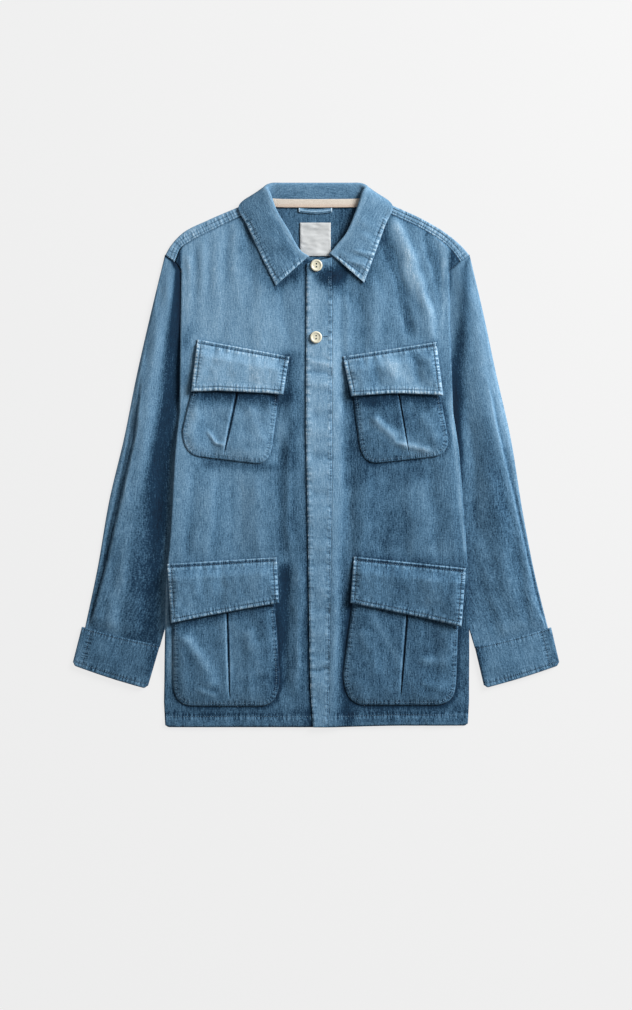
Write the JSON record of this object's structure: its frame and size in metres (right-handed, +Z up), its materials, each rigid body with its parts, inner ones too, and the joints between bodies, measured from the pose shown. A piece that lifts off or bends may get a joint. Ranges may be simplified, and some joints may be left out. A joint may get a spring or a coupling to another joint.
{
  "type": "overshirt",
  "caption": "Long-sleeved washed chambray overshirt laid flat on its back, with a fold-down collar, fly front, and pleated chest and hip pockets under flaps.",
  "frame": {"origin": "centre of the garment's outline seen from above, on the surface it lies on", "axes": "+Z up from the surface it lies on, +Y from the hem to the collar, +X to the viewer's right, which is the wearer's left"},
  "size_m": [0.729, 0.8159, 0.016],
  "materials": {
    "chambray": "matte washed cloth",
    "chambray_pale": "matte washed cloth, worn paler",
    "chambray_deep": "matte washed cloth",
    "tape": "cream herringbone tape",
    "label": "plain off-white woven label",
    "button": "cream resin, satin"
  },
  "bodies": {
    "root": {"back": "chambray", "front_right": "chambray", "front_left": "chambray", "sleeve_right": "chambray", "sleeve_left": "chambray", "collar": "chambray", "pocket_chest_right": "chambray", "pocket_chest_left": "chambray", "pocket_hip_right": "chambray", "pocket_hip_left": "chambray", "placket": "chambray_pale", "hanger_loop": "chambray_pale", "flap_chest_right": "chambray_pale", "flap_chest_left": "chambray_pale", "flap_hip_right": "chambray_pale", "flap_hip_left": "chambray_pale", "cuff_right": "chambray_deep", "cuff_left": "chambray_deep", "neck_tape": "tape", "label": "label", "button_1": "button", "button_2": "button"}
  },
  "joints": []
}
